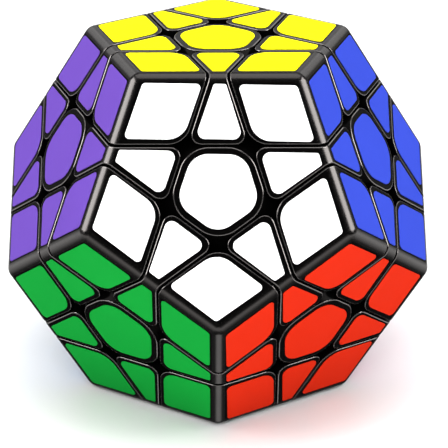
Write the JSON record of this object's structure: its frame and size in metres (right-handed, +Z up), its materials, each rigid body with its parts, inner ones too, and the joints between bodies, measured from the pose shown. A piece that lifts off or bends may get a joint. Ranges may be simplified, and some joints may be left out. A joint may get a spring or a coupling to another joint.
{
  "type": "dodecahedron twisty puzzle",
  "caption": "Twelve-sided twisty puzzle with a coloured sticker on every face of its black corner, edge and centre pieces. Its face layers turn about a hidden core.",
  "frame": {"origin": "middle of the face that the puzzle stands on", "axes": "+Z up, out of the yellow face. The white face looks towards -Y and up. The puzzle is symmetric left to right in shape."},
  "size_m": [0.0778, 0.0816, 0.067],
  "materials": {
    "black_plastic": "smooth moulded plastic with a soft sheen",
    "zinc_steel": "bright zinc plate"
  },
  "bodies": {
    "core": {"core_with_nine_centres": "black_plastic", "corner_light_green_grey_orange": "black_plastic", "corner_light_green_pink_grey": "black_plastic", "corner_orange_grey_light_blue": "black_plastic", "corner_white_green_red": "black_plastic", "corner_yellow_light_green_orange": "black_plastic", "edge_grey_light_blue": "black_plastic", "edge_light_blue_green": "black_plastic", "edge_light_green_grey": "black_plastic", "edge_light_green_orange": "black_plastic", "edge_light_green_pink": "black_plastic", "edge_orange_grey": "black_plastic", "edge_orange_light_blue": "black_plastic", "edge_pink_grey": "black_plastic", "edge_red_green": "black_plastic", "edge_red_pink": "black_plastic", "edge_white_green": "black_plastic", "edge_white_red": "black_plastic", "edge_yellow_light_green": "black_plastic", "edge_yellow_orange": "black_plastic", "edge_yellow_white": "black_plastic", "screw_blue": "zinc_steel", "screw_cream": "zinc_steel", "screw_purple": "zinc_steel", "spring_blue": "zinc_steel", "spring_cream": "zinc_steel", "spring_purple": "zinc_steel"},
    "purple_layer": {"centre_purple": "black_plastic", "corner_orange_light_blue_purple": "black_plastic", "corner_purple_light_blue_green": "black_plastic", "corner_white_purple_green": "black_plastic", "corner_yellow_orange_purple": "black_plastic", "corner_yellow_purple_white": "black_plastic", "edge_orange_purple": "black_plastic", "edge_purple_green": "black_plastic", "edge_purple_light_blue": "black_plastic", "edge_white_purple": "black_plastic", "edge_yellow_purple": "black_plastic"},
    "blue_layer": {"centre_blue": "black_plastic", "corner_blue_pink_light_green": "black_plastic", "corner_blue_red_pink": "black_plastic", "corner_white_red_blue": "black_plastic", "corner_yellow_blue_light_green": "black_plastic", "corner_yellow_white_blue": "black_plastic", "edge_blue_light_green": "black_plastic", "edge_blue_pink": "black_plastic", "edge_blue_red": "black_plastic", "edge_white_blue": "black_plastic", "edge_yellow_blue": "black_plastic"},
    "cream_layer": {"centre_cream": "black_plastic", "corner_cream_green_light_blue": "black_plastic", "corner_cream_grey_pink": "black_plastic", "corner_cream_light_blue_grey": "black_plastic", "corner_cream_pink_red": "black_plastic", "corner_cream_red_green": "black_plastic", "edge_cream_green": "black_plastic", "edge_cream_grey": "black_plastic", "edge_cream_light_blue": "black_plastic", "edge_cream_pink": "black_plastic", "edge_cream_red": "black_plastic"}
  },
  "joints": [
    {"name": "purple_layer_turn", "type": "hinge", "parent": "core", "child": "purple_layer", "pos_m": [0, 0, 0.0335], "axis": [-0.8507, -0.2764, 0.4472], "continuous": true},
    {"name": "blue_layer_turn", "type": "hinge", "parent": "core", "child": "blue_layer", "pos_m": [0, 0, 0.0335], "axis": [0.8507, -0.2764, 0.4472], "continuous": true},
    {"name": "cream_layer_turn", "type": "hinge", "parent": "core", "child": "cream_layer", "pos_m": [0, 0, 0.0335], "axis": [0, 0, -1], "continuous": true}
  ]
}
